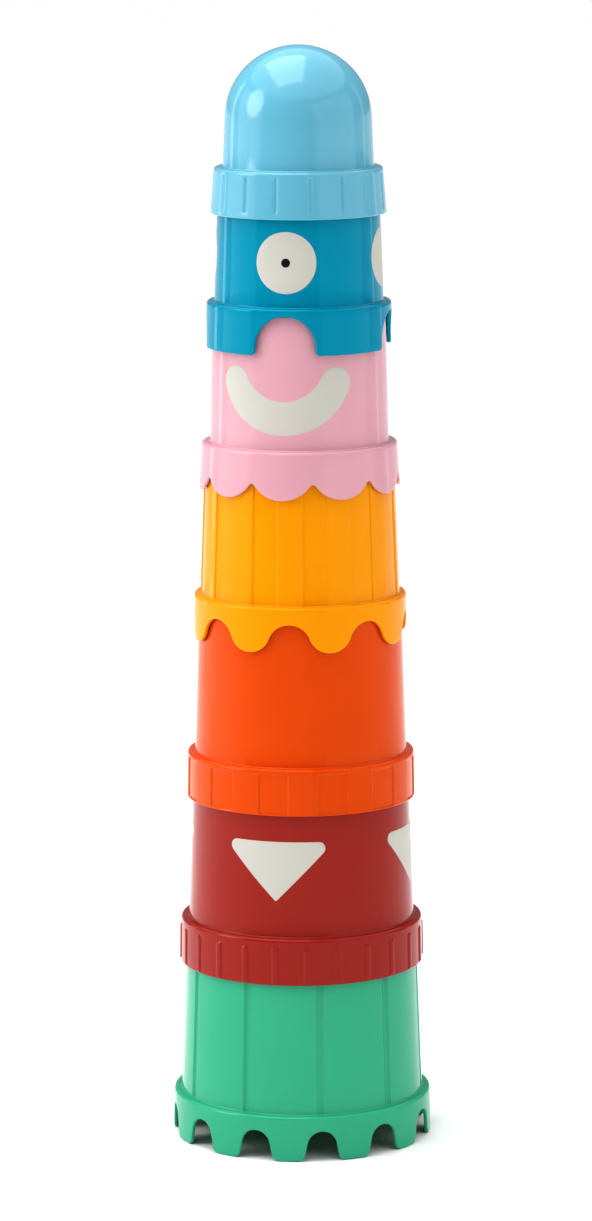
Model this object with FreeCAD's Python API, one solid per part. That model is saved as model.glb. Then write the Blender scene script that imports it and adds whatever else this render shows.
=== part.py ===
import FreeCAD, Part
import math
import os

# Stacking cup tower. Millimetres, +Z up, origin at the centre of the base on the floor.
# The printed face looks along -Y. Angles are degrees round +Z, counted from -Y towards +X.

# Sizes every cup shares
TOP = 1.6            # thickness of a closed top
LEDGE = 1.6          # thickness of the ledge that rests on the cup below
BODY_WALL = 1.6      # wall of the tapered body
SKIRT_WALL = 1.3     # wall of the skirt at its foot
FIT = 0.35           # gap all round between a skirt and the top of the cup inside it
EDGE_ROUND = 1.2     # outer edge of the ledge
CROWN_ROUND = 1.0    # outer edge of a flat closed top
ROOT_ROUND = 0.6     # corner where the body leaves the ledge
FOOT_ROUND = 0.4     # edges of the skirt's foot
PRINT_DEPTH = 0.25   # thickness of a printed patch
PAST = 1.0           # how far a cutter reaches past the surface it cuts
SKIN = 0.02          # how far the lip of a shallow cutter stands off that surface

# Cups from the floor up: skirt height, body height, skirt radius at the foot and at the ledge,
# body radius at the ledge and at the top, turn of the whole cup.
CUPS = {
    "green": {
        "skirt": 16.4, "body": 63.6, "foot_r": 47.6, "ledge_r": 47.35,
        "low_r": 44.5, "top_r": 42.1, "turn": 17.8,
    },
    "red": {
        "skirt": 17.0, "body": 60.2, "foot_r": 44.5, "ledge_r": 44.25,
        "low_r": 41.35, "top_r": 39.1, "turn": -3.5,
    },
    "orange": {
        "skirt": 17.0, "body": 56.8, "foot_r": 41.75, "ledge_r": 41.45,
        "low_r": 38.75, "top_r": 36.8, "turn": 10.1,
    },
    "yellow": {
        "skirt": 16.6, "body": 54.0, "foot_r": 39.0, "ledge_r": 38.65,
        "low_r": 36.35, "top_r": 34.2, "turn": 3.0,
    },
    "pink": {
        "skirt": 17.3, "body": 49.4, "foot_r": 36.6, "ledge_r": 35.4,
        "low_r": 32.4, "top_r": 31.2, "turn": -1.5,
    },
    "blue": {
        "skirt": 16.65, "body": 46.6, "foot_r": 34.0, "ledge_r": 33.4,
        "low_r": 30.55, "top_r": 28.9, "turn": 0.0,
    },
    "dome": {
        "skirt": 16.7, "body": 43.4, "foot_r": 31.75, "ledge_r": 30.4,
        "low_r": 27.2, "top_r": 25.45, "turn": -6.0,
    },
}
DOME_CROWN = 26.4    # radius of the round top of the smallest cup

# Green cup
GROOVES = 10
GROOVE_WIDTH = 3.0
GROOVE_DEPTH = 0.8
ARCHES = 12
ARCH_HEIGHT = 10.9
ARCH_HALF = 5.7
ARCH_ROUND = 5.39
ARCH_FOOT_HALF = 6.3
TOOTH_ROUND = 2.2

# Red cup
RIBS = 24
RIB_WIDTH = 2.1
RIB_HEIGHT = 0.45
RIB_STOP = 3.4       # from the ledge down to the rib's end
RIB_START = 0.5      # from the foot up to the rib's other end
RIB_ROOT = 0.6       # how deep it is let into the skirt
RIB_ROUND = 0.3
TRIANGLE_WIDTH = 40.5
TRIANGLE_HEIGHT = 21.45
TRIANGLE_APEX_UP = 13.65  # above the ledge
TRIANGLE_ROUND = 2.4
TRIANGLE_TURN = -0.55     # from the line of the rib below it
APEX_ROUND = 0.5
APEX_DROP = 0.45     # how far its sharp corner would reach past the rounded one
TRIANGLE_SPREAD = 0.87    # the same for the two upper corners, sideways

# Orange cup
ORANGE_PANELS = 12
ORANGE_PANEL_STOP = 2.0
PANEL_DEPTH = 0.45

# Yellow cup
FLUTES = 12
FLUTE_DEPTH = 0.5
DRIPS = 8
DRIP_DEPTH = 10.4

# Pink cup
SCALLOPS = 10
SCALLOP_DEPTH = 5.7
CUSP_ROUND = 1.3
SMILE_UP = 32.55     # centre of the smile's arc above the ledge
SMILE_RADIUS = 20.9
SMILE_HALF = 6.1     # half its thickness in the middle
SMILE_TAPER = 0.3    # how much less that is at the ends
SMILE_SPAN = 66.5

# Blue cup
NOTCHES = 4
NOTCH_HALF = 11.2
NOTCH_HEIGHT = 13.95
NOTCH_ROUND = 11.19  # just under half the width, so that its two arcs stay apart
NOTCH_FOOT_ROUND = 1.4
EYE_UP = 16.2        # above the ledge
EYE_RADIUS = 11.0
PUPIL_RADIUS = 1.6

# Dome cup
DOME_LOBES = 16
LOBE_DEPTH = 0.45
LOBE_REACH = 1.7     # from a groove's bottom to where the lobe is full
LOBE_FOOT = 2.2
LOBE_STOP = 1.8


def levels():
    """Stack the cups: each ledge rests on the closed top of the cup below."""
    floor = 0.0
    under = None
    for cup in CUPS.values():
        if under is None:
            cup["ledge_z"] = cup["skirt"]
            cup["inner_r"] = cup["ledge_r"] - SKIRT_WALL
        else:
            cup["ledge_z"] = floor + LEDGE
            cup["inner_r"] = under["top_r"] + FIT
        cup["foot_z"] = cup["ledge_z"] - cup["skirt"]
        cup["top_z"] = cup["ledge_z"] + cup["body"]
        floor = cup["top_z"]
        under = cup


def corner(before, here, after, radius):
    """Tangent points and middle of the arc that rounds one corner of a flat outline."""
    back = (before - here).normalize()
    ahead = (after - here).normalize()
    half = back.getAngle(ahead) / 2
    reach = radius / math.tan(half)
    inward = (back + ahead).normalize()
    middle = here + inward * (radius / math.sin(half) - radius)
    return here + back * reach, middle, here + ahead * reach


def outline(corners, y=0.0):
    """Closed wire in the plane at y through (x, z, corner radius)."""
    points = [FreeCAD.Vector(x, y, z) for x, z, radius in corners]
    edges = []
    starts = []
    ends = []
    for i, (x, z, radius) in enumerate(corners):
        if radius > 0:
            start, middle, end = corner(points[i - 1], points[i], points[(i + 1) % len(points)], radius)
            edges.append(Part.Arc(start, middle, end).toShape())
        else:
            start = points[i]
            end = points[i]
        starts.append(start)
        ends.append(end)
    for i in range(len(points)):
        following = starts[(i + 1) % len(points)]
        if ends[i].distanceToPoint(following) > 1e-6:
            edges.append(Part.LineSegment(ends[i], following).toShape())
    return Part.Wire(Part.__sortEdges__(edges))


def spun(wire, start=0.0, sweep=360.0):
    """Solid made by turning a profile round the axis, centred on the angle start."""
    face = Part.Face(wire)
    solid = face.revolve(FreeCAD.Vector(0, 0, 0), FreeCAD.Vector(0, 0, 1), sweep)
    return turned(solid, start - 90.0 - sweep / 2)


def turned(shape, angle):
    """Copy of a shape turned round the axis."""
    copy = shape.copy()
    copy.rotate(FreeCAD.Vector(0, 0, 0), FreeCAD.Vector(0, 0, 1), angle)
    return copy


def around(shape, count, turn, offset=0.0):
    """Evenly spaced copies of a shape that is built at angle zero."""
    return [turned(shape, turn + offset + 360.0 * k / count) for k in range(count)]


def skirt_r(cup, z):
    """Outside radius of the skirt at a height."""
    share = (z - cup["foot_z"]) / cup["skirt"]
    return cup["foot_r"] + (cup["ledge_r"] - cup["foot_r"]) * share


def body_r(cup, z):
    """Outside radius of the body at a height."""
    share = (z - cup["ledge_z"]) / cup["body"]
    return cup["low_r"] + (cup["top_r"] - cup["low_r"]) * share


def shell(cup, crown=CROWN_ROUND):
    """Plain cup: skirt, ledge, tapered body and closed top, hollow from below."""
    foot = cup["foot_z"]
    ledge = cup["ledge_z"]
    top = cup["top_z"]
    inner_crown = max(crown - BODY_WALL, CROWN_ROUND)
    profile = outline([
        (cup["foot_r"] - SKIRT_WALL, foot, FOOT_ROUND),
        (cup["foot_r"], foot, FOOT_ROUND),
        (cup["ledge_r"], ledge, EDGE_ROUND),
        (cup["low_r"], ledge, ROOT_ROUND),
        (cup["top_r"], top, crown),
        (0.0, top, 0.0),
        (0.0, top - TOP, 0.0),
        (cup["top_r"] - BODY_WALL, top - TOP, inner_crown),
        (cup["low_r"] - BODY_WALL, ledge - LEDGE, 0.0),
        (cup["inner_r"], ledge - LEDGE, 0.0),
    ])
    return spun(profile)


def skirt_recess(cup, low, high, depth, sweep):
    """Shallow panel to cut from the outside of the skirt, built at angle zero."""
    return spun(outline([
        (skirt_r(cup, low) - depth, low, 0.0),
        (skirt_r(cup, low) + PAST, low, 0.0),
        (skirt_r(cup, high) + PAST, high, 0.0),
        (skirt_r(cup, high) - depth, high, 0.0),
    ]), 0.0, sweep)


def through_skirt(cup, wire):
    """Cutter made by pushing an outline at y = 0 outwards through the front of the skirt."""
    return Part.Face(wire).extrude(FreeCAD.Vector(0, -cup["foot_r"] - PAST, 0))


def below(left, right):
    """Edges that close a cutter under the skirt's foot, from its right end round to its left."""
    down = FreeCAD.Vector(0, 0, -PAST)
    stops = [right, right + down, left + down, left]
    return [Part.LineSegment(a, b).toShape() for a, b in zip(stops, stops[1:])]


def chord(radius, angle):
    """Distance sideways of a point at an angle on a circle."""
    return radius * math.sin(math.radians(angle))


def patch(cup, wire):
    """Thin printed layer flush with the body, under an outline at y = 0."""
    prism = Part.Face(wire).extrude(FreeCAD.Vector(0, -cup["low_r"] - PAST, 0))
    base = FreeCAD.Vector(0, 0, cup["ledge_z"])
    outer = Part.makeCone(cup["low_r"], cup["top_r"], cup["body"], base)
    inner = Part.makeCone(cup["low_r"] - PRINT_DEPTH, cup["top_r"] - PRINT_DEPTH, cup["body"], base)
    return prism.common(outer.cut(inner))


def wrapped(cup, z, points):
    """Points of a flat drawing laid round the body at height z."""
    radius = body_r(cup, z)
    return [FreeCAD.Vector(radius * math.sin(s / radius), 0, z + up) for s, up in points]


def wrapped_circle(cup, z, radius, steps=24):
    """Closed outline of a circle laid round the body."""
    angles = [2 * math.pi * k / steps for k in range(steps)]
    curve = Part.BSplineCurve()
    flat = [(radius * math.sin(a), radius * math.cos(a)) for a in angles]
    curve.interpolate(Points=wrapped(cup, z, flat), PeriodicFlag=True)
    return Part.Wire(curve.toShape())


def wrapped_arc(cup, z, centre, radius, first, last, steps=12):
    """Edge along an arc laid round the body. radius is a function of the angle from straight down."""
    angles = [first + (last - first) * k / steps for k in range(steps + 1)]
    flat = []
    for angle in angles:
        along = math.radians(angle)
        flat.append((
            centre[0] + radius(angle) * math.sin(along),
            centre[1] - radius(angle) * math.cos(along),
        ))
    curve = Part.BSplineCurve()
    curve.interpolate(wrapped(cup, z, flat))
    return curve.toShape()


def green_cup(cup):
    """Grooved body over a skirt of rounded arches and teeth."""
    bore = (GROOVE_WIDTH ** 2 / 4 + GROOVE_DEPTH ** 2) / (2 * GROOVE_DEPTH)
    out = bore - GROOVE_DEPTH
    start = FreeCAD.Vector(0, -cup["low_r"] - out, cup["ledge_z"])
    circle = Part.Face(Part.Wire(Part.makeCircle(bore, start)))
    lean = FreeCAD.Vector(0, cup["low_r"] - cup["top_r"], cup["body"])
    groove = circle.extrude(lean)
    foot = cup["foot_z"]
    wide = ARCH_FOOT_HALF + TOOTH_ROUND + PAST
    arch = outline([
        (-wide, foot - PAST, 0.0),
        (-wide, foot, 0.0),
        (-ARCH_FOOT_HALF, foot, TOOTH_ROUND),
        (-ARCH_HALF, foot + ARCH_HEIGHT, ARCH_ROUND),
        (ARCH_HALF, foot + ARCH_HEIGHT, ARCH_ROUND),
        (ARCH_FOOT_HALF, foot, TOOTH_ROUND),
        (wide, foot, 0.0),
        (wide, foot - PAST, 0.0),
    ])
    cuts = around(groove, GROOVES, cup["turn"])
    cuts += around(through_skirt(cup, arch), ARCHES, cup["turn"])
    return shell(cup).cut(cuts)


def red_cup(cup):
    """Plain body over a skirt with narrow upright ribs."""
    low = cup["foot_z"] + RIB_START
    high = cup["ledge_z"] - RIB_STOP
    rib = spun(outline([
        (skirt_r(cup, low) - RIB_ROOT, low, 0.0),
        (skirt_r(cup, low) + RIB_HEIGHT, low, RIB_ROUND),
        (skirt_r(cup, high) + RIB_HEIGHT, high, RIB_ROUND),
        (skirt_r(cup, high) - RIB_ROOT, high, 0.0),
    ]), 0.0, math.degrees(RIB_WIDTH / cup["foot_r"]))
    return shell(cup).fuse(around(rib, RIBS, cup["turn"])).removeSplitter()


def triangle(cup):
    """Printed triangle pointing down, at angle zero."""
    apex = cup["ledge_z"] + TRIANGLE_APEX_UP
    high = apex + TRIANGLE_HEIGHT
    radius = body_r(cup, high)
    half = radius * math.sin(TRIANGLE_WIDTH / 2 / radius) + TRIANGLE_SPREAD
    return patch(cup, outline([
        (0.0, apex - APEX_DROP, APEX_ROUND),
        (half, high, TRIANGLE_ROUND),
        (-half, high, TRIANGLE_ROUND),
    ]))


def orange_cup(cup):
    """Plain body over a skirt with broad panels that run out at the foot."""
    high = cup["ledge_z"] - ORANGE_PANEL_STOP
    sweep = 180.0 / ORANGE_PANELS
    panel = skirt_recess(cup, cup["foot_z"] - PAST, high, PANEL_DEPTH, sweep)
    return shell(cup).cut(around(panel, ORANGE_PANELS, cup["turn"], sweep))


def yellow_cup(cup):
    """Fluted body over a skirt that hangs in round drips."""
    low = cup["ledge_z"]
    high = cup["top_z"]
    sweep = 180.0 / FLUTES
    flute = spun(outline([
        (body_r(cup, low) - FLUTE_DEPTH, low, 0.0),
        (body_r(cup, low) + PAST, low, 0.0),
        (body_r(cup, high) + PAST, high, 0.0),
        (body_r(cup, high) - FLUTE_DEPTH, high, 0.0),
    ]), 0.0, sweep)
    foot = cup["foot_z"]
    half = chord(cup["foot_r"], 180.0 / DRIPS)
    steep = 2 * math.atan(DRIP_DEPTH / half)
    radius = half / 2 / math.sin(steep)
    mid = foot + DRIP_DEPTH / 2
    rise = radius * (1 - math.cos(steep / 2))
    across = radius * math.sin(steep / 2)
    left = FreeCAD.Vector(-half, 0, foot)
    right = FreeCAD.Vector(half, 0, foot)
    up = FreeCAD.Vector(-half / 2, 0, mid)
    down = FreeCAD.Vector(half / 2, 0, mid)
    crest = FreeCAD.Vector(0, 0, foot + DRIP_DEPTH)
    gap = Part.Wire([
        Part.Arc(left, FreeCAD.Vector(-half + across, 0, foot + rise), up).toShape(),
        Part.Arc(up, crest, down).toShape(),
        Part.Arc(down, FreeCAD.Vector(half - across, 0, foot + rise), right).toShape(),
    ] + below(left, right))
    cuts = around(flute, FLUTES, cup["turn"], sweep)
    cuts += around(through_skirt(cup, gap), DRIPS, cup["turn"])
    return shell(cup).cut(cuts)


def pink_cup(cup):
    """Plain body over a flared skirt of scallops."""
    foot = cup["foot_z"]
    half = chord(cup["foot_r"], 180.0 / SCALLOPS)
    reach = (SCALLOP_DEPTH ** 2 + half ** 2) / (2 * SCALLOP_DEPTH)
    lobe = reach - CUSP_ROUND
    lean = math.asin(half / reach)
    touch = FreeCAD.Vector(half - lobe * math.sin(lean), 0, foot + lobe * (1 - math.cos(lean)))
    bow = FreeCAD.Vector(half - lobe * math.sin(lean / 2), 0, foot + lobe * (1 - math.cos(lean / 2)))
    crest = FreeCAD.Vector(0, 0, foot + SCALLOP_DEPTH)
    left = FreeCAD.Vector(-half, 0, foot)
    right = FreeCAD.Vector(half, 0, foot)
    gap = Part.Wire([
        Part.Arc(left, FreeCAD.Vector(-bow.x, 0, bow.z), FreeCAD.Vector(-touch.x, 0, touch.z)).toShape(),
        Part.Arc(FreeCAD.Vector(-touch.x, 0, touch.z), crest, touch).toShape(),
        Part.Arc(touch, bow, right).toShape(),
    ] + below(left, right))
    return shell(cup).cut(around(through_skirt(cup, gap), SCALLOPS, cup["turn"], 180.0 / SCALLOPS))


def smile_half(angle):
    """Half the smile's thickness at an angle from its middle."""
    return SMILE_HALF - SMILE_TAPER * (angle / SMILE_SPAN) ** 2


def smile(cup):
    """Printed smile, thinner towards its round ends, at angle zero."""
    z = cup["ledge_z"] + SMILE_UP
    end_s = SMILE_RADIUS * math.sin(math.radians(SMILE_SPAN))
    end_up = -SMILE_RADIUS * math.cos(math.radians(SMILE_SPAN))

    def outer(angle):
        return SMILE_RADIUS + smile_half(angle)

    def inner(angle):
        return SMILE_RADIUS - smile_half(angle)

    def end(angle):
        return SMILE_HALF - SMILE_TAPER

    return patch(cup, Part.Wire([
        wrapped_arc(cup, z, (0.0, 0.0), outer, -SMILE_SPAN, SMILE_SPAN, 24),
        wrapped_arc(cup, z, (end_s, end_up), end, SMILE_SPAN, SMILE_SPAN + 180.0),
        wrapped_arc(cup, z, (0.0, 0.0), inner, SMILE_SPAN, -SMILE_SPAN, 24),
        wrapped_arc(cup, z, (-end_s, end_up), end, 180.0 - SMILE_SPAN, 360.0 - SMILE_SPAN),
    ]))


def blue_cup(cup):
    """Plain body over a skirt with four round-topped notches."""
    foot = cup["foot_z"]
    wide = NOTCH_HALF + NOTCH_FOOT_ROUND + PAST
    notch = outline([
        (-wide, foot - PAST, 0.0),
        (-wide, foot, 0.0),
        (-NOTCH_HALF, foot, NOTCH_FOOT_ROUND),
        (-NOTCH_HALF, foot + NOTCH_HEIGHT, NOTCH_ROUND),
        (NOTCH_HALF, foot + NOTCH_HEIGHT, NOTCH_ROUND),
        (NOTCH_HALF, foot, NOTCH_FOOT_ROUND),
        (wide, foot, 0.0),
        (wide, foot - PAST, 0.0),
    ])
    return shell(cup).cut(around(through_skirt(cup, notch), NOTCHES, cup["turn"]))


def dome_cup(cup):
    """Round-topped smallest cup with a flared skirt of soft upright lobes."""
    low = cup["foot_z"] + LOBE_FOOT
    high = cup["ledge_z"] - LOBE_STOP
    radius = skirt_r(cup, low)

    def side(across, depth):
        return FreeCAD.Vector(across, depth - math.sqrt(radius ** 2 - across ** 2), low)

    bottom = side(0.0, LOBE_DEPTH)
    left = side(-LOBE_REACH, -SKIN)
    right = side(LOBE_REACH, -SKIN)
    away = FreeCAD.Vector(0, -PAST, 0)
    section = Part.Wire([
        Part.Arc(left, side(-LOBE_REACH / 2, LOBE_DEPTH / 4), bottom).toShape(),
        Part.Arc(bottom, side(LOBE_REACH / 2, LOBE_DEPTH / 4), right).toShape(),
        Part.LineSegment(right, right + away).toShape(),
        Part.LineSegment(right + away, left + away).toShape(),
        Part.LineSegment(left + away, left).toShape(),
    ])
    lean = FreeCAD.Vector(0, radius - skirt_r(cup, high), high - low)
    groove = Part.Face(section).extrude(lean)
    return shell(cup, DOME_CROWN).cut(around(groove, DOME_LOBES, cup["turn"]))


def export(name, shape):
    """Write one node; it has to be a single closed solid."""
    solid = shape.Solids[0]
    if len(shape.Solids) != 1 or not solid.isValid():
        raise RuntimeError(name + " is not one valid solid")
    solid.exportStep("parts/" + name + ".step")


def export_printed(name, cup_shape, patches):
    """Write a cup with its printed patches let in flush."""
    export(name, cup_shape.cut([shape for shapes in patches.values() for shape in shapes]))
    for patch_name, shapes in patches.items():
        for number, shape in enumerate(shapes, start=1):
            export(patch_name + "_" + str(number), shape)


levels()
export("green_cup", green_cup(CUPS["green"]))

red = CUPS["red"]
export_printed("red_cup", red_cup(red), {"triangle": around(triangle(red), 4, red["turn"], TRIANGLE_TURN)})
export("orange_cup", orange_cup(CUPS["orange"]))
export("yellow_cup", yellow_cup(CUPS["yellow"]))

pink = CUPS["pink"]
export_printed("pink_cup", pink_cup(pink), {"smile": around(smile(pink), 2, pink["turn"])})

blue = CUPS["blue"]
eye_z = blue["ledge_z"] + EYE_UP
pupils = around(patch(blue, wrapped_circle(blue, eye_z, PUPIL_RADIUS, 12)), 2, blue["turn"])
discs = around(patch(blue, wrapped_circle(blue, eye_z, EYE_RADIUS)), 4, blue["turn"])
export_printed("blue_cup", blue_cup(blue), {
    "eye_white": [disc.cut(pupils) for disc in discs],
    "eye_pupil": pupils,
})
export("dome_cup", dome_cup(CUPS["dome"]))
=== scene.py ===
import math
from collections import namedtuple

import bmesh
import bpy
import numpy as np
from mathutils import Matrix, Vector


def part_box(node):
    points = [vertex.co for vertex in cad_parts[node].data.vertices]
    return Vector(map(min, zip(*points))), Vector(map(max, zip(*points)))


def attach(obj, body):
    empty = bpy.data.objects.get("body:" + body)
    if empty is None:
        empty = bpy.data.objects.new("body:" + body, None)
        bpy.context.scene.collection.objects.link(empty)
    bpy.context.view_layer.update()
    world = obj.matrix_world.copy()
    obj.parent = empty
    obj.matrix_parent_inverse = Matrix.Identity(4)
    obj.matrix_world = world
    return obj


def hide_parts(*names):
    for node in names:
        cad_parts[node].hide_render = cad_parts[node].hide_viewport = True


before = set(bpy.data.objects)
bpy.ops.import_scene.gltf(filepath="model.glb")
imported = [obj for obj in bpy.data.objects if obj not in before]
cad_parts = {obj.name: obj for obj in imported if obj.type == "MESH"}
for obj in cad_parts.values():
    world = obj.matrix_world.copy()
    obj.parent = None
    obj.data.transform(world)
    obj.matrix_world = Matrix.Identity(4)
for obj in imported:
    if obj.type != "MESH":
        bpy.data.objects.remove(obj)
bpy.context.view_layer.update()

MM = 0.001

# Sizes below are in millimetres and degrees.

# Fineness of the meshes
COLUMNS = 480        # points round each cup
ARC_STEP = 1.2       # between points along a wide rounding or a triangle's side
OUTSIDE_STEP = 9.0   # longest straight run of a cup's outer profile
INSIDE_STEP = 14.0   # and of its inner one
FOOT_STEP = 18       # turn from ring to ring round a foot's edge
PACKING_SAMPLES = 4001   # used to pack columns closer near edges
NEAR = 0.001         # heights that differ by less are the same

# Every cup, as in the CAD model
TOP = 1.6
LEDGE = 1.6
BODY_WALL = 1.6
SKIRT_WALL = 1.3
FIT = 0.35
EDGE_ROUND = 1.2
CROWN_ROUND = 1.0
ROOT_ROUND = 0.6
FOOT_ROUND = 0.42
INNER_ROUND = 0.4    # inside corners at the ledge
AXIS_HOLE = 0.6      # radius of the innermost ring of points in a flat top
INNER_CROWN = 1.0    # least rounding at the top of an inside
UNDER_LEDGE = 1.5    # how far the inner profile goes on below the ledge
LEDGE_RING = 0.25    # how far the skirt's columns go on in over the flat ledge
FADE_REACH = 4.0     # relief fades out at this distance in from the edge of a flat top
FADE_WIDTH = 2.0
INSIDE_LEVELS = (0.75, 0.5, 0.25)   # rings down the inside of a skirt, as shares of its height

# Cups from the floor up
CUPS = {
    "green": {
        "skirt": 16.4, "body": 63.6, "foot_r": 47.6, "ledge_r": 47.35,
        "low_r": 44.5, "top_r": 42.1, "turn": 17.8,
    },
    "red": {
        "skirt": 17.0, "body": 60.2, "foot_r": 44.5, "ledge_r": 44.25,
        "low_r": 41.35, "top_r": 39.1, "turn": -3.5,
    },
    "orange": {
        "skirt": 17.0, "body": 56.8, "foot_r": 41.75, "ledge_r": 41.45,
        "low_r": 38.75, "top_r": 36.8, "turn": 10.1,
    },
    "yellow": {
        "skirt": 16.6, "body": 54.0, "foot_r": 39.0, "ledge_r": 38.65,
        "low_r": 36.35, "top_r": 34.2, "turn": 3.0,
    },
    "pink": {
        "skirt": 17.3, "body": 49.4, "foot_r": 36.6, "ledge_r": 35.4,
        "low_r": 32.4, "top_r": 31.2, "turn": -1.5,
    },
    "blue": {
        "skirt": 16.65, "body": 46.6, "foot_r": 34.0, "ledge_r": 33.4,
        "low_r": 30.55, "top_r": 28.9, "turn": 0.0,
    },
    "dome": {
        "skirt": 16.7, "body": 43.4, "foot_r": 31.75, "ledge_r": 30.4,
        "low_r": 27.2, "top_r": 25.45, "turn": -6.0,
    },
}
DOME_CROWN = 26.4
MISFIT = 0.3         # the most that a cup's ends may differ from the CAD model's

# Green cup
GROOVES = 10
GROOVE_WIDTH = 3.0
GROOVE_DEPTH = 0.8
GROOVE_LIP = 0.2     # how gently the groove's sides meet the body
ARCHES = 12
ARCH_HEIGHT = 10.9
ARCH_ROUND = 5.45
ARCH_FOOT_HALF = 6.3
TOOTH_ROUND = 2.2
FLARE_STOP = 0.6     # the arch's flare is set out to this share of TOOTH_ROUND above the foot
ARCH_TOPS = (6.0, 8.0, 9.6)
GROOVE_EDGES = (-1.9, 0, 1.9)   # angles in each repeat that the columns are packed near

# Red cup
RIBS = 24
RIB_WIDTH = 2.1
RIB_HEIGHT = 0.45
RIB_STOP = 3.4       # from the ledge down to the rib's end
RIB_START = 0.6      # from the foot up to the rib's other end
RIB_SIDE = 0.3       # width over which a rib's sides rise, and its lower end
RIB_END = 0.35       # and its upper end
RIB_EDGES = (-1.35, 1.35)
TRIANGLE_WIDTH = 40.5
TRIANGLE_HEIGHT = 21.45
TRIANGLE_APEX_UP = 13.65
TRIANGLE_ROUND = 2.4
TRIANGLE_TURN = -0.55
TRIANGLE_MIDDLE = 0.62   # height of the point that the outline shrinks to, as a share
CORNER_OUT = 0.4     # how far the upper corners are set out before rounding, as a share of it
APEX_ROUND = 0.5
APEX_DOWN = 0.9      # how far the apex is set down before rounding, as a share of it

# Orange and yellow cups
PANELS = 12
ORANGE_PANEL_STOP = 2.0
PANEL_DEPTH = 0.45
PANEL_SIDE = 0.3     # width over which a panel's sides sink
PANEL_END = 0.45     # and its upper end
PANEL_EDGES = (-7.5, 7.5)
FLUTE_DEPTH = 0.5
DRIPS = 8
DRIP_DEPTH = 10.4

# Pink cup
SCALLOPS = 10
SCALLOP_DEPTH = 5.7
CUSP_ROUND = 1.3
CUSP_TOP = 1.7
SMILE_UP = 32.55
SMILE_RADIUS = 20.9
SMILE_HALF = 6.1
SMILE_TAPER = 0.3
SMILE_SPAN = 66.5
SMILE_POINTS = 45    # along each side
SMILE_END_POINTS = 16

# Blue cup
NOTCHES = 4
NOTCH_HALF = 11.2
NOTCH_HEIGHT = 13.95
NOTCH_FOOT_ROUND = 1.4
NOTCH_TOPS = (11.9, 13.0, 14.4)
EYE_UP = 16.2
EYE_RADIUS = 11.0
PUPIL_RADIUS = 1.6

# Dome cup
LOBES = 16
LOBE_DEPTH = 0.45
LOBE_REACH = 1.7
LOBE_FOOT = 2.2
LOBE_STOP = 1.8
LOBE_END = 0.5       # height over which a lobe's ends fade
LOBE_EDGES = (0.0,)

# Rings on a skirt with relief, up from its foot's rounding and down from its ledge
RELIEF_UP = (0.3, 0.6, 0.9, 1.2, 1.7, 2.1, 2.5, 2.9, 5.0, 8.0, 11.0)
RELIEF_DOWN = (4.4, 3.8, 3.5, 3.2, 2.9, 2.6, 2.3, 2.1, 1.9, 1.7, 1.5)

# Prints
TRIANGLES = 4
SMILES = 2
EYES = 4
PUPILS = 2
PRINT_LIFT = 0.05    # how far a print stands off the body
PUPIL_LIFT = 0.09    # and one that lies on another print
PRINT_SINK = 0.2
PRINT_EDGE = 0.06    # width of its bevelled edge
SHARP_ANGLE = 50
SHORTEST = 1e-6      # keeps a division from being by zero
MERGE = 1e-7         # in metres, points nearer than this become one
DISSOLVE = 1e-8      # in metres, edges shorter than this go


def stack():
    """Heights of every cup, each ledge resting on the closed top below."""
    under = None
    for name, cup in CUPS.items():
        cup["name"] = name
        cup["ledge_z"] = cup["skirt"] if under is None else under["top_z"] + LEDGE
        cup["inner_r"] = cup["ledge_r"] - SKIRT_WALL if under is None else under["top_r"] + FIT
        cup["foot_z"] = cup["ledge_z"] - cup["skirt"]
        cup["top_z"] = cup["ledge_z"] + cup["body"]
        low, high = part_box(name + "_cup")
        off = max(abs(low.z / MM - cup["foot_z"]), abs(high.z / MM - cup["top_z"]))
        if off > MISFIT:
            raise RuntimeError(name + " cup isn't where the CAD model has it")
        under = cup


def skirt_r(cup, z):
    """Outer radius of the skirt at a height."""
    return cup["foot_r"] + (cup["ledge_r"] - cup["foot_r"]) * (z - cup["foot_z"]) / cup["skirt"]


def skirt_inner_r(cup, z):
    """Inner radius of the skirt at a height."""
    foot = cup["foot_r"] - SKIRT_WALL
    return foot + (cup["inner_r"] - foot) * (z - cup["foot_z"]) / (cup["skirt"] - LEDGE)


def body_r(cup, z):
    """Outer radius of the body at a height."""
    return cup["low_r"] + (cup["top_r"] - cup["low_r"]) * (z - cup["ledge_z"]) / cup["body"]


# Outlines of the skirts' lower edges -------------------------------------------------------------
# Half a repeat, from the middle of a gap (x = 0) to the middle of the tooth (x = half), as rows of
# (x, height above the foot, direction into the material, x where the column meets the ledge).
# ARCH_TOPS, CUSP_TOP and NOTCH_TOPS are that last x where one part of an outline meets the next.
# The counts of an outline's parts add up to half of COLUMNS / repeats.

def arc(centre, radius, first, last, count, inside, tops):
    """Points along an arc. inside is +1 where the material lies outside the circle, else -1."""
    turn = np.radians(np.linspace(first, last, count + 1))
    x = centre[0] + radius * np.cos(turn)
    h = centre[1] + radius * np.sin(turn)
    top = np.linspace(tops[0], tops[1], count + 1)
    return np.column_stack([x, h, inside * np.cos(turn), inside * np.sin(turn), top])


def line(start, end, count, tops):
    """Points along a straight edge with the material on its left-hand side."""
    start = np.array(start)
    end = np.array(end)
    along = (end - start) / np.linalg.norm(end - start)
    share = np.linspace(0, 1, count + 1)[:, None]
    points = start + (end - start) * share
    into = np.tile([-along[1], along[0]], (count + 1, 1))
    top = np.linspace(tops[0], tops[1], count + 1)[:, None]
    return np.hstack([points, into, top])


def joined(parts):
    """One run of points, with the shared ends of neighbouring parts dropped."""
    return np.vstack([parts[0]] + [part[1:] for part in parts[1:]])


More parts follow.
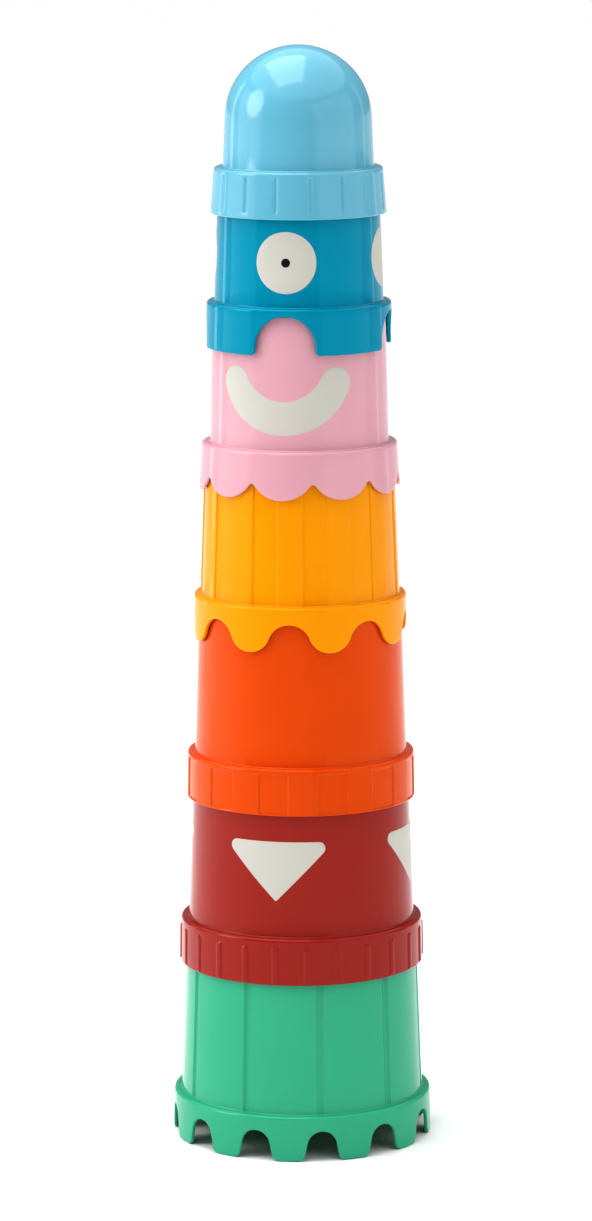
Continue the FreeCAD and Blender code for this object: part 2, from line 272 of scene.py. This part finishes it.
def green_foot(half):
    """Round-topped arches with slightly flared sides between teeth with rounded corners."""
    drop = ARCH_HEIGHT - ARCH_ROUND - TOOTH_ROUND * FLARE_STOP
    flare = math.atan2(ARCH_FOOT_HALF - ARCH_ROUND, drop)
    lean = math.degrees(flare)
    out = np.array([math.cos(flare), math.sin(flare)])
    crest = np.array([0, ARCH_HEIGHT - ARCH_ROUND])
    corner = np.array([ARCH_FOOT_HALF + TOOTH_ROUND, TOOTH_ROUND])
    side, bend, tip = ARCH_TOPS
    return joined([
        arc(crest, ARCH_ROUND, 90, lean, 9, 1, (0, side)),
        line(crest + out * ARCH_ROUND, corner - out * TOOTH_ROUND, 3, (side, bend)),
        arc(corner, TOOTH_ROUND, 180 + lean, 270, 5, -1, (bend, tip)),
        line((corner[0], 0), (half, 0), 3, (tip, half)),
    ])


def yellow_foot(half):
    """Round drips and round gaps of the same size."""
    steep = 2 * math.degrees(math.atan(DRIP_DEPTH / half))
    radius = half / 2 / math.sin(math.radians(steep))
    return joined([
        arc((0, DRIP_DEPTH - radius), radius, 90, 90 - steep, 15, 1, (0, half / 2)),
        arc((half, radius), radius, 270 - steep, 270, 15, -1, (half / 2, half)),
    ])


def pink_foot(half):
    """Scallops that meet in small rounded cusps."""
    reach = (SCALLOP_DEPTH ** 2 + half ** 2) / (2 * SCALLOP_DEPTH)
    lean = math.degrees(math.asin(half / reach))
    scallop = reach - CUSP_ROUND
    return joined([
        arc((0, SCALLOP_DEPTH - CUSP_ROUND), CUSP_ROUND, 90, 90 - lean, 7, 1, (0, CUSP_TOP)),
        arc((half, scallop), scallop, 270 - lean, 270, 17, -1, (CUSP_TOP, half)),
    ])


def blue_foot(half):
    """Round-topped notches with small rounded corners."""
    shoulder = NOTCH_HEIGHT - NOTCH_HALF
    corner = (NOTCH_HALF + NOTCH_FOOT_ROUND, NOTCH_FOOT_ROUND)
    side, bend, tip = NOTCH_TOPS
    return joined([
        arc((0, shoulder), NOTCH_HALF, 90, 0, 24, 1, (0, side)),
        line((NOTCH_HALF, shoulder), (NOTCH_HALF, NOTCH_FOOT_ROUND), 4, (side, bend)),
        arc(corner, NOTCH_FOOT_ROUND, 180, 270, 7, -1, (bend, tip)),
        line((corner[0], 0), (half, 0), 25, (tip, half)),
    ])


# The lower edge all round, one value for each column of points: its angle, its height above the
# foot, its direction sideways and up into the material, and the column's angle at the ledge.
Edge = namedtuple("Edge", "angle rise side up top")


def foot_edge(cup, repeats, shape, offset=0.0):
    """Lower edge of a skirt that is cut out in repeats."""
    half = cup["foot_r"] * math.sin(math.pi / repeats)
    points = shape(half)
    mirrored = points[:0:-1] * np.array([-1, 1, -1, 1, -1])
    period = np.vstack([mirrored, points[:-1]])
    angle = np.degrees(np.arcsin(period[:, 0] / cup["foot_r"]))
    top = np.degrees(np.arcsin(period[:, 4] / cup["foot_r"]))
    shifts = np.repeat(np.arange(repeats) * 360.0 / repeats, len(period)) + offset
    return Edge(
        np.tile(angle, repeats) + shifts,
        np.tile(period[:, 1], repeats),
        np.tile(period[:, 2], repeats),
        np.tile(period[:, 3], repeats),
        np.tile(top, repeats) + shifts,
    )


def spread(repeats, edges, reach=0.9, boost=9.0):
    """Angles all round, packed closer near the given edges of each repeat."""
    pitch = 360.0 / repeats
    fine = np.linspace(-pitch / 2, pitch / 2, PACKING_SAMPLES)
    density = np.ones_like(fine)
    for edge in edges:
        density += boost * np.exp(-((fine - edge) / reach) ** 2)
    total = np.concatenate([[0], np.cumsum((density[1:] + density[:-1]) / 2)])
    count = COLUMNS // repeats
    one = np.interp(np.arange(count) / count, total / total[-1], fine)
    return (one[None, :] + np.arange(repeats)[:, None] * pitch).ravel()


def straight_edge(angles):
    """Lower edge of a skirt that isn't cut out."""
    zero = np.zeros_like(angles)
    return Edge(angles, zero, zero, zero + 1, angles)


# Relief ------------------------------------------------------------------------------------------

def soft(distance, width):
    """0 to 1 across an edge, rounded on both sides."""
    t = np.clip(distance / width / 2 + 0.5, 0, 1)
    return t * t * (3 - 2 * t)


def across(angles, pitch, centre, radius):
    """Distance round the cup, in mm, from the nearest repeat's centre line."""
    off = (angles - centre + pitch / 2) % pitch - pitch / 2
    return np.abs(np.radians(off)) * radius


def orange_skirt(cup, angles, z):
    """Every second panel is recessed."""
    pitch = 360.0 / PANELS
    wide = math.radians(pitch / 4) * cup["foot_r"]
    inside = wide - across(angles, pitch, pitch / 2, cup["foot_r"])
    below = soft(cup["ledge_z"] - ORANGE_PANEL_STOP - z, PANEL_END)
    return -PANEL_DEPTH * soft(inside, PANEL_SIDE) * below


def yellow_body(cup, angles, z):
    """Every second panel is recessed."""
    pitch = 360.0 / PANELS
    wide = math.radians(pitch / 4) * cup["low_r"]
    inside = wide - across(angles, pitch, pitch / 2, cup["low_r"])
    return -FLUTE_DEPTH * soft(inside, PANEL_SIDE)


def dome_skirt(cup, angles, z):
    """Soft upright lobes with narrow grooves between them."""
    off = np.minimum(across(angles, 360.0 / LOBES, 0.0, cup["foot_r"]) / LOBE_REACH, 1.0)
    above = soft(z - cup["foot_z"] - LOBE_FOOT, LOBE_END)
    below = soft(cup["ledge_z"] - LOBE_STOP - z, LOBE_END)
    return -LOBE_DEPTH * (1 - off) ** 2 * below * above


def red_skirt(cup, angles, z):
    """Thin upright ribs."""
    inside = RIB_WIDTH / 2 - across(angles, 360.0 / RIBS, 0.0, cup["foot_r"])
    above = soft(z - cup["foot_z"] - RIB_START, RIB_SIDE)
    below = soft(cup["ledge_z"] - RIB_STOP - z, RIB_END)
    return RIB_HEIGHT * soft(inside, RIB_SIDE) * (below * above)


def green_body(cup, angles, z):
    """Round-bottomed upright grooves."""
    off = across(angles, 360.0 / GROOVES, 0.0, cup["low_r"])
    deep = GROOVE_DEPTH * (1 - (off / (GROOVE_WIDTH / 2)) ** 2)
    lip = (deep + GROOVE_LIP) ** 2 / (4 * GROOVE_LIP)
    return -np.where(deep > GROOVE_LIP, deep, np.where(deep < -GROOVE_LIP, 0.0, lip))


def plain(cup, angles, z):
    """No relief."""
    return np.zeros_like(angles)


# Cups --------------------------------------------------------------------------------------------

def rounded(corners, steps):
    """(radius, z) points of a profile whose corners are (radius, z, rounding)."""
    points = [np.array(corner[:2], float) for corner in corners]
    out = [points[0]]
    for i in range(1, len(corners) - 1):
        size = corners[i][2]
        if size == 0:
            out.append(points[i])
            continue
        back = points[i - 1] - points[i]
        ahead = points[i + 1] - points[i]
        back /= np.linalg.norm(back)
        ahead /= np.linalg.norm(ahead)
        half = math.acos(np.clip(back @ ahead, -1, 1)) / 2
        bisector = (back + ahead) / np.linalg.norm(back + ahead)
        centre = points[i] + bisector * size / math.sin(half)
        start = points[i] + back * size / math.tan(half) - centre
        end = points[i] + ahead * size / math.tan(half) - centre
        sweep = math.pi - 2 * half
        count = max(steps, int(sweep * size / ARC_STEP))
        for k in range(count + 1):
            t = k / count
            ray = (start * math.sin((1 - t) * sweep) + end * math.sin(t * sweep)) / math.sin(sweep)
            out.append(centre + ray)
    out.append(points[-1])
    return out


def filled(points, longest):
    """The same profile with extra points on its long straight runs."""
    out = [points[0]]
    for start, end in zip(points, points[1:]):
        count = max(1, math.ceil(np.linalg.norm(end - start) / longest))
        out.extend(start + (end - start) * k / count for k in range(1, count + 1))
    return out


def lathe(name, rows, turn):
    """Closed mesh through rows of (radius, angle, z), each closed round the axis."""
    radius = np.array([np.broadcast_to(row[0], (COLUMNS,)) for row in rows]) * MM
    angle = np.radians(np.array([np.broadcast_to(row[1], (COLUMNS,)) for row in rows]) + turn)
    height = np.array([np.broadcast_to(row[2], (COLUMNS,)) for row in rows]) * MM
    grid = np.stack([radius * np.sin(angle), -radius * np.cos(angle), height], axis=-1)
    ends = [(0, 0, height[0, 0]), (0, 0, height[-1, 0])]
    vertices = np.vstack([grid.reshape(-1, 3), ends])
    faces = []
    for i in range(len(rows) - 1):
        for j in range(COLUMNS):
            k = (j + 1) % COLUMNS
            low = i * COLUMNS
            high = low + COLUMNS
            faces.append((low + j, low + k, high + k, high + j))
    first = len(vertices) - 2
    last = len(vertices) - 1
    base = (len(rows) - 1) * COLUMNS
    for j in range(COLUMNS):
        k = (j + 1) % COLUMNS
        faces.append((first, k, j))
        faces.append((last, base + j, base + k))
    return mesh_object(name, vertices, faces)


def mesh_object(name, vertices, faces):
    """Smooth-shaded object with its faces turned outwards."""
    mesh = bpy.data.meshes.new(name)
    mesh.from_pydata([tuple(v) for v in vertices], [], faces)
    work = bmesh.new()
    work.from_mesh(mesh)
    bmesh.ops.recalc_face_normals(work, faces=work.faces)
    work.to_mesh(mesh)
    work.free()
    mesh.shade_smooth()
    obj = bpy.data.objects.new(name, mesh)
    bpy.context.scene.collection.objects.link(obj)
    return obj


def off_axis(points):
    """The profile without what a wide rounding adds nearer to the axis than its end point."""
    return [point for point in points if point[0] >= AXIS_HOLE]


def edge_row(cup, foot, depth, radius_at, push=0.0):
    """Ring of points at a depth into the material from the skirt's lower edge."""
    z = cup["foot_z"] + foot.rise + foot.up * depth
    around = foot.angle + np.degrees(foot.side * depth / cup["foot_r"])
    return radius_at(cup, z) + push, around, z


def inside_rows(cup, foot, crown):
    """From the middle of the inside down to the skirt's lower edge."""
    under = cup["ledge_z"] - LEDGE
    profile = rounded([
        (AXIS_HOLE, cup["top_z"] - TOP, 0),
        (cup["top_r"] - BODY_WALL, cup["top_z"] - TOP, max(crown - BODY_WALL, INNER_CROWN)),
        (cup["low_r"] - BODY_WALL, under, INNER_ROUND),
        (cup["inner_r"], under, INNER_ROUND),
        (skirt_inner_r(cup, under - UNDER_LEDGE), under - UNDER_LEDGE, 0),
    ], 4)
    rows = [(r, foot.top, z) for r, z in filled(off_axis(profile), INSIDE_STEP)]
    low = edge_row(cup, foot, FOOT_ROUND, skirt_inner_r)
    high = rows[-1]
    for share in INSIDE_LEVELS:
        z = low[2] + (high[2] - low[2]) * share
        around = low[1] + (foot.top - low[1]) * share
        rows.append((skirt_inner_r(cup, z), around, z))
    return rows


def foot_rows(cup, foot):
    """Round the skirt's lower edge, from its inner face to its outer one."""
    rows = []
    quarter = range(0, 91, FOOT_STEP)
    for radius_at, outwards, turns in ((skirt_inner_r, 1, quarter), (skirt_r, -1, quarter[::-1])):
        for turn in np.radians(turns):
            depth = FOOT_ROUND * (1 - math.sin(turn))
            push = FOOT_ROUND * (1 - math.cos(turn)) * outwards
            rows.append(edge_row(cup, foot, depth, radius_at, push))
    return rows


def skirt_rows(cup, foot, meet, relief, levels):
    """Up the skirt's outer face to where the ledge's round edge starts, at the height meet."""
    rows = []
    low = edge_row(cup, foot, FOOT_ROUND, skirt_r)
    for share in levels:
        z = low[2] + (meet - low[2]) * share
        around = low[1] + (foot.top - low[1]) * share
        rows.append((skirt_r(cup, z) + relief(cup, around, z), around, z))
    return rows


def body_rows(cup, profile, angles, relief):
    """Up the body to the middle of the top. Relief fades out on the flat top."""
    rows = []
    for r, z in profile:
        on_wall = z < cup["top_z"] - NEAR
        fade = 1.0 if on_wall else soft(np.array(r - cup["top_r"] + FADE_REACH), FADE_WIDTH)
        rows.append((r + relief(cup, angles, z) * fade, angles, z))
    return rows


def cup_object(cup, foot, levels, skirt=plain, body=plain, body_angles=None, crown=CROWN_ROUND):
    """One moulded cup, from the middle of its inside, round its foot, to the middle of its top."""
    profile = rounded([
        (skirt_r(cup, cup["foot_z"]), cup["foot_z"], 0),
        (cup["ledge_r"], cup["ledge_z"], EDGE_ROUND),
        (cup["low_r"], cup["ledge_z"], ROOT_ROUND),
        (cup["top_r"], cup["top_z"], crown),
        (AXIS_HOLE, cup["top_z"], 0),
    ], 5)[1:]
    points = filled(off_axis(profile), OUTSIDE_STEP)
    flat = next(i for i, point in enumerate(points) if point[1] > cup["ledge_z"] - NEAR)
    rows = inside_rows(cup, foot, crown) + foot_rows(cup, foot)
    rows += skirt_rows(cup, foot, points[0][1], skirt, levels)
    rows += [(r, foot.top, z) for r, z in points[:flat + 1]]
    rows.append((points[flat][0] - LEDGE_RING, foot.top, points[flat][1]))
    angles = foot.top if body_angles is None else body_angles
    rows += body_rows(cup, points[flat + 1:], angles, body)
    return lathe(cup["name"] + "_cup_moulding", rows, cup["turn"])


def even(count):
    """Levels evenly up the skirt."""
    return [k / count for k in range(1, count)]


def relief_levels(sizes):
    """Levels up the skirt, packed closer at both ends of its ribs, lobes or panels."""
    tall = sizes["skirt"] - FOOT_ROUND
    marks = list(RELIEF_UP) + [tall - stop for stop in RELIEF_DOWN]
    return sorted(mark / (tall - EDGE_ROUND) for mark in marks if 0 < mark < tall - EDGE_ROUND)


# Prints ------------------------------------------------------------------------------------------

def print_object(name, cup, place, outline, rings, lift=PRINT_LIFT):
    """Thin printed patch on a cup's body at place, a height and a turn.

    The outline is an edge and a spine, both (sideways, up) points in mm. The patch is rings of
    points from each point of the edge to its partner on the spine.
    """
    z, turn = place
    edge = np.array(outline[0])
    spine = np.array(outline[1])
    count = len(edge)
    reach = np.linalg.norm(spine - edge, axis=1, keepdims=True)
    inset = np.minimum(PRINT_EDGE / np.maximum(reach, SHORTEST), 1)
    layers = [(edge, -PRINT_SINK), (edge, lift * 0.5), (edge + (spine - edge) * inset, lift)]
    for k in range(1, rings + 1):
        share = inset + (1 - inset) * k / rings
        layers.append((edge + (spine - edge) * share, lift))
    crest = len(layers) - 1
    for k in range(rings, 0, -1):
        layers.append((edge + (spine - edge) * k / rings, -PRINT_SINK))
    vertices = []
    for flat, rise in layers:
        height = z + flat[:, 1]
        radius = body_r(cup, height) + rise
        around = flat[:, 0] / body_r(cup, height) + math.radians(cup["turn"] + turn)
        vertices.append(
            np.column_stack([radius * np.sin(around), -radius * np.cos(around), height])
        )
    vertices = np.vstack(vertices) * MM
    faces = []
    total = len(layers)
    for i in range(total):
        if i == crest:
            continue
        n = (i + 1) % total
        for j in range(count):
            k = (j + 1) % count
            faces.append((i * count + j, i * count + k, n * count + k, n * count + j))
    obj = mesh_object(name, vertices, faces)
    work = bmesh.new()
    work.from_mesh(obj.data)
    bmesh.ops.remove_doubles(work, verts=work.verts, dist=MERGE)
    bmesh.ops.dissolve_degenerate(work, edges=work.edges, dist=DISSOLVE)
    bmesh.ops.recalc_face_normals(work, faces=work.faces)
    work.to_mesh(obj.data)
    work.free()
    obj.data.set_sharp_from_angle(angle=math.radians(SHARP_ANGLE))
    return obj


def circle(radius, count):
    """Disc: its edge, and its middle, which the edge shrinks to."""
    turn = np.linspace(0, 2 * math.pi, count, endpoint=False)
    return np.column_stack([radius * np.sin(turn), radius * np.cos(turn)]), np.zeros((count, 2))


def smile():
    """Arc with round ends, thinner towards them: its edge, and the spine that it shrinks to."""
    edge = []
    spine = []

    def along(side):
        """The outer side, 1, or the inner one, -1."""
        for a in np.linspace(-SMILE_SPAN, SMILE_SPAN, SMILE_POINTS) * side:
            thick = SMILE_HALF - SMILE_TAPER * (a / SMILE_SPAN) ** 2
            out = np.array([math.sin(math.radians(a)), -math.cos(math.radians(a))])
            edge.append(out * (SMILE_RADIUS + thick * side))
            spine.append(out * SMILE_RADIUS)

    def end(sign, start):
        """Half a turn round the right-hand end, 1, or the left-hand one, -1."""
        span = math.radians(SMILE_SPAN)
        middle = np.array([sign * math.sin(span), -math.cos(span)]) * SMILE_RADIUS
        for k in range(1, SMILE_END_POINTS):
            a = math.radians(start + 180 * k / SMILE_END_POINTS)
            out = np.array([math.sin(a), -math.cos(a)])
            edge.append(middle + out * (SMILE_HALF - SMILE_TAPER))
            spine.append(middle)

    along(1)
    end(1, SMILE_SPAN)
    along(-1)
    end(-1, 180 - SMILE_SPAN)
    return edge, spine


def triangle():
    """Triangle pointing down with rounded corners: its edge, and the point that it shrinks to."""
    half = TRIANGLE_WIDTH / 2
    top = TRIANGLE_HEIGHT
    lean = half / top * TRIANGLE_ROUND * CORNER_OUT
    apex = (0, -APEX_ROUND * APEX_DOWN, APEX_ROUND)
    corners = [apex, (half + lean, top, TRIANGLE_ROUND), (-half - lean, top, TRIANGLE_ROUND)]
    closed = corners[-1:] + corners + corners[:1]
    points = rounded(closed, 8)[1:-1]
    points = filled(points + points[:1], ARC_STEP)[:-1]
    return np.array(points), np.tile([0.0, top * TRIANGLE_MIDDLE], (len(points), 1))


# Materials ---------------------------------------------------------------------------------------

CLOUD = 0.025        # the most that the colour differs from its mean, as a share
CLOUD_SCALE = 30.0
POLISH = 0.06        # the same for the roughness
POLISH_SCALE = 40.0
VARIED_FROM = 0.3    # noise values at which a slow change starts and ends
VARIED_TO = 0.7
WAVE_SCALE = 38.0
WAVE_STRENGTH = 0.12
WAVE_HEIGHT = 0.0006     # in metres, as GRAIN_HEIGHT is
GRAIN_SCALE = 500.0
GRAIN_STRENGTH = 0.25
GRAIN_HEIGHT = 0.00001


def node(tree, kind, **inputs):
    """New node with values on its inputs, whose names have _ for a space."""
    made = tree.nodes.new(kind)
    for key, value in inputs.items():
        made.inputs[key.replace("_", " ")].default_value = value
    return made


def varied(tree, coords, scale, low, high, detail=3.0):
    """Slow change between two values or colours over the surface."""
    noise = node(tree, "ShaderNodeTexNoise", Scale=scale, Detail=detail)
    ramp = tree.nodes.new("ShaderNodeValToRGB")
    ramp.color_ramp.elements[0].position = VARIED_FROM
    ramp.color_ramp.elements[1].position = VARIED_TO
    ramp.color_ramp.elements[0].color = low
    ramp.color_ramp.elements[1].color = high
    tree.links.new(coords, noise.inputs["Vector"])
    tree.links.new(noise.outputs["Fac"], ramp.inputs["Fac"])
    return ramp.outputs["Color"]


def linear(rgb):
    """sRGB colour as the linear one that a shader takes."""
    return [c / 12.92 if c <= 0.04045 else ((c + 0.055) / 1.055) ** 2.4 for c in rgb]


def moulded(name, rgb, roughness, specular=0.5, tint=(1, 1, 1)):
    """Moulded or printed plastic: faint clouds, varied polish, slight waves and a fine grain."""
    material = bpy.data.materials.new(name)
    material.use_nodes = True
    tree = material.node_tree
    shader = tree.nodes["Principled BSDF"]
    coords = tree.nodes.new("ShaderNodeTexCoord").outputs["Object"]
    base = np.array(linear(rgb))
    low = [*(base * (1 - CLOUD)), 1.0]
    high = [*np.minimum(base * (1 + CLOUD), 1.0), 1.0]
    tree.links.new(varied(tree, coords, CLOUD_SCALE, low, high), shader.inputs["Base Color"])
    shiny = [roughness * (1 - POLISH)] * 3 + [1.0]
    dull = [roughness * (1 + POLISH)] * 3 + [1.0]
    polish = varied(tree, coords, POLISH_SCALE, shiny, dull, detail=2.0)
    tree.links.new(polish, shader.inputs["Roughness"])
    fine = node(tree, "ShaderNodeTexNoise", Scale=GRAIN_SCALE, Detail=1.0)
    wave = node(tree, "ShaderNodeTexNoise", Scale=WAVE_SCALE, Detail=1.0)
    tree.links.new(coords, fine.inputs["Vector"])
    tree.links.new(coords, wave.inputs["Vector"])
    slow = node(tree, "ShaderNodeBump", Strength=WAVE_STRENGTH, Distance=WAVE_HEIGHT)
    quick = node(tree, "ShaderNodeBump", Strength=GRAIN_STRENGTH, Distance=GRAIN_HEIGHT)
    tree.links.new(wave.outputs["Fac"], slow.inputs["Height"])
    tree.links.new(fine.outputs["Fac"], quick.inputs["Height"])
    tree.links.new(slow.outputs["Normal"], quick.inputs["Normal"])
    tree.links.new(quick.outputs["Normal"], shader.inputs["Normal"])
    shader.inputs["Specular IOR Level"].default_value = specular
    shader.inputs["Specular Tint"].default_value = (*tint, 1)
    return material


def dress(obj, body, nodes, slot):
    """Give a piece its material, put it on its body, and hide the CAD nodes that it stands in for.
    """
    obj.data.materials.append(MATERIALS[slot])
    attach(obj, body)
    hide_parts(*nodes)


# The object --------------------------------------------------------------------------------------

stack()

# Colour, roughness, specular level and specular tint
MATERIALS = {
    "green": moulded("green_plastic", (0.214, 0.642, 0.508), 0.09, 0.33),
    "dark_red": moulded("dark_red_plastic", (0.575, 0.147, 0.113), 0.08, 0.38, (1, 0.7, 0.65)),
    "orange": moulded("orange_plastic", (0.808, 0.304, 0.032), 0.08, 0.35, (1, 0.6, 0.35)),
    "yellow": moulded("yellow_plastic", (0.884, 0.579, 0.01), 0.09, 0.33, (1, 0.8, 0.3)),
    "pink": moulded("pink_plastic", (0.802, 0.61, 0.652), 0.10, 0.35),
    "blue": moulded("blue_plastic", (0.0, 0.526, 0.63), 0.08, 0.38, (0.2, 0.9, 1.0)),
    "light_blue": moulded("light_blue_plastic", (0.405, 0.662, 0.742), 0.13, 0.5),
    "print_white": moulded("white_print", (0.74, 0.73, 0.70), 0.4, 0.3),
    "print_black": moulded("black_print", (0.03, 0.03, 0.03), 0.4, 0.3),
}


def make_cup(name, slot, foot, **shape):
    """Make one cup in its material, riding on its own body."""
    obj = cup_object(CUPS[name], foot, **shape)
    dress(obj, name + "_cup", [name + "_cup"], slot)


make_cup(
    "green", "green", foot_edge(CUPS["green"], ARCHES, green_foot),
    levels=even(7), body=green_body,
    body_angles=spread(GROOVES, GROOVE_EDGES, reach=1.3, boost=5.0),
)
make_cup(
    "red", "dark_red", straight_edge(spread(RIBS, RIB_EDGES, reach=0.5, boost=6.0)),
    levels=relief_levels(CUPS["red"]), skirt=red_skirt,
)
make_cup(
    "orange", "orange", straight_edge(spread(PANELS, PANEL_EDGES)),
    levels=relief_levels(CUPS["orange"]), skirt=orange_skirt,
)
make_cup(
    "yellow", "yellow", foot_edge(CUPS["yellow"], DRIPS, yellow_foot),
    levels=even(7), body=yellow_body, body_angles=spread(PANELS, PANEL_EDGES),
)
make_cup(
    "pink", "pink", foot_edge(CUPS["pink"], SCALLOPS, pink_foot, offset=180.0 / SCALLOPS),
    levels=even(7),
)
make_cup("blue", "blue", foot_edge(CUPS["blue"], NOTCHES, blue_foot), levels=even(8))
make_cup(
    "dome", "light_blue", straight_edge(spread(LOBES, LOBE_EDGES, reach=1.8, boost=4.0)),
    levels=relief_levels(CUPS["dome"]), skirt=dome_skirt, crown=DOME_CROWN,
)

red = CUPS["red"]
for k in range(TRIANGLES):
    place = (red["ledge_z"] + TRIANGLE_APEX_UP, 360 / TRIANGLES * k + TRIANGLE_TURN)
    obj = print_object("triangle_print_%d" % (k + 1), red, place, triangle(), rings=12)
    dress(obj, "red_cup", ["triangle_%d" % (k + 1)], "print_white")

pink = CUPS["pink"]
for k in range(SMILES):
    place = (pink["ledge_z"] + SMILE_UP, 360 / SMILES * k)
    obj = print_object("smile_print_%d" % (k + 1), pink, place, smile(), rings=6)
    dress(obj, "pink_cup", ["smile_%d" % (k + 1)], "print_white")

blue = CUPS["blue"]
eye = circle(EYE_RADIUS, 96)
for k in range(EYES):
    place = (blue["ledge_z"] + EYE_UP, 360 / EYES * k)
    obj = print_object("eye_print_%d" % (k + 1), blue, place, eye, rings=10)
    dress(obj, "blue_cup", ["eye_white_%d" % (k + 1)], "print_white")
pupil = circle(PUPIL_RADIUS, 32)
for k in range(PUPILS):
    place = (blue["ledge_z"] + EYE_UP, 360 / PUPILS * k)
    obj = print_object("pupil_print_%d" % (k + 1), blue, place, pupil, rings=3, lift=PUPIL_LIFT)
    dress(obj, "blue_cup", ["eye_pupil_%d" % (k + 1)], "print_black")


# Studio ------------------------------------------------------------------------------------------

# Camera: turn from the printed face, distance from the tower's axis and height in metres, angles
# down, aside and of roll, and focal length and sensor height in millimetres
CAMERA_SIDE = math.radians(9.0)
CAMERA_DISTANCE = 1.778
CAMERA_HEIGHT = 0.5044
CAMERA_DOWN = 9.89
CAMERA_ASIDE = 0.05
CAMERA_ROLL = -0.245
LENS = 145.8
SENSOR = 36.0

# Floor
FLOOR_REACH = 40.0   # in metres
FLOOR_GAP = 0.0002   # between it and the tower's feet
FLOOR_PALE = 0.92


def floor():
    """Wide pale floor."""
    mesh = bpy.data.meshes.new("studio_floor")
    side = FLOOR_REACH
    corners = [(-side, -side, 0), (side, -side, 0), (side, side, 0), (-side, side, 0)]
    mesh.from_pydata(corners, [], [(0, 1, 2, 3)])
    obj = bpy.data.objects.new("studio_floor", mesh)
    obj.location.z = -FLOOR_GAP
    bpy.context.scene.collection.objects.link(obj)
    material = bpy.data.materials.new("pale_floor")
    material.use_nodes = True
    shader = material.node_tree.nodes["Principled BSDF"]
    shader.inputs["Base Color"].default_value = (FLOOR_PALE, FLOOR_PALE, FLOOR_PALE, 1)
    shader.inputs["Roughness"].default_value = 0.9
    shader.inputs["Specular IOR Level"].default_value = 0.1
    mesh.materials.append(material)


def lamp(name, turn, distance, height, aim, width, tall, power, shape="RECTANGLE"):
    """Soft box at an angle from the camera, positive to the right, that faces the height aim."""
    data = bpy.data.lights.new(name, "AREA")
    data.shape = shape
    data.size = width
    data.size_y = tall
    data.energy = power
    obj = bpy.data.objects.new(name, data)
    side = CAMERA_SIDE + math.radians(turn)
    obj.location = (distance * math.sin(side), -distance * math.cos(side), height)
    obj.rotation_euler = (Vector((0, 0, aim)) - obj.location).to_track_quat("-Z", "Y").to_euler()
    bpy.context.scene.collection.objects.link(obj)


def sky(strength, spread_angle):
    """Broad even light from straight above."""
    data = bpy.data.lights.new("sky_light", "SUN")
    data.energy = strength
    data.angle = math.radians(spread_angle)
    obj = bpy.data.objects.new("sky_light", data)
    bpy.context.scene.collection.objects.link(obj)


def surroundings(strength):
    """Plain grey room."""
    world = bpy.data.worlds.new("studio_room")
    world.use_nodes = True
    bpy.context.scene.world = world
    background = world.node_tree.nodes["Background"]
    background.inputs["Color"].default_value = (1, 1, 1, 1)
    background.inputs["Strength"].default_value = strength


def camera():
    """Camera at the viewing angle: turned from the printed face and looking down."""
    data = bpy.data.cameras.new("camera")
    data.sensor_fit = "VERTICAL"
    data.sensor_height = SENSOR
    data.lens = LENS
    data.clip_end = 100.0
    obj = bpy.data.objects.new("camera", data)
    away = Vector((math.sin(CAMERA_SIDE), -math.cos(CAMERA_SIDE), 0)) * CAMERA_DISTANCE
    place = away + Vector((0, 0, CAMERA_HEIGHT))
    spin = Matrix.Rotation(CAMERA_SIDE + math.radians(CAMERA_ASIDE), 4, "Z")
    tilt = Matrix.Rotation(math.radians(90 - CAMERA_DOWN), 4, "X")
    roll = Matrix.Rotation(math.radians(CAMERA_ROLL), 4, "Z")
    obj.matrix_world = Matrix.Translation(place) @ spin @ tilt @ roll
    bpy.context.scene.collection.objects.link(obj)
    bpy.context.scene.camera = obj


floor()
surroundings(0.24)
sky(1.65, 110)
# Name, angle, distance, height, height faced, width, length, watts
lamp("box_left", -84, 1.8, 0.6, 0.2, 1.6, 1.5, 6.3)
lamp("strip_left", -124, 1.8, 0.5, 0.2, 0.22, 1.6, 1.5)
lamp("box_right", 62, 1.8, 0.6, 0.2, 2.6, 1.5, 7.5)
lamp("strip_right", 122, 1.8, 0.5, 0.2, 0.14, 1.6, 0.5)
lamp("box_above", -90, 0.23, 1.4, 0.4, 1.2, 0.76, 6.6)
lamp("glint", -77, 1.5, 0.92, 0.38, 0.84, 1.0, 6.8, "ELLIPSE")
camera()
bpy.context.scene.view_settings.view_transform = "Standard"
bpy.context.scene.view_settings.look = "High Contrast"
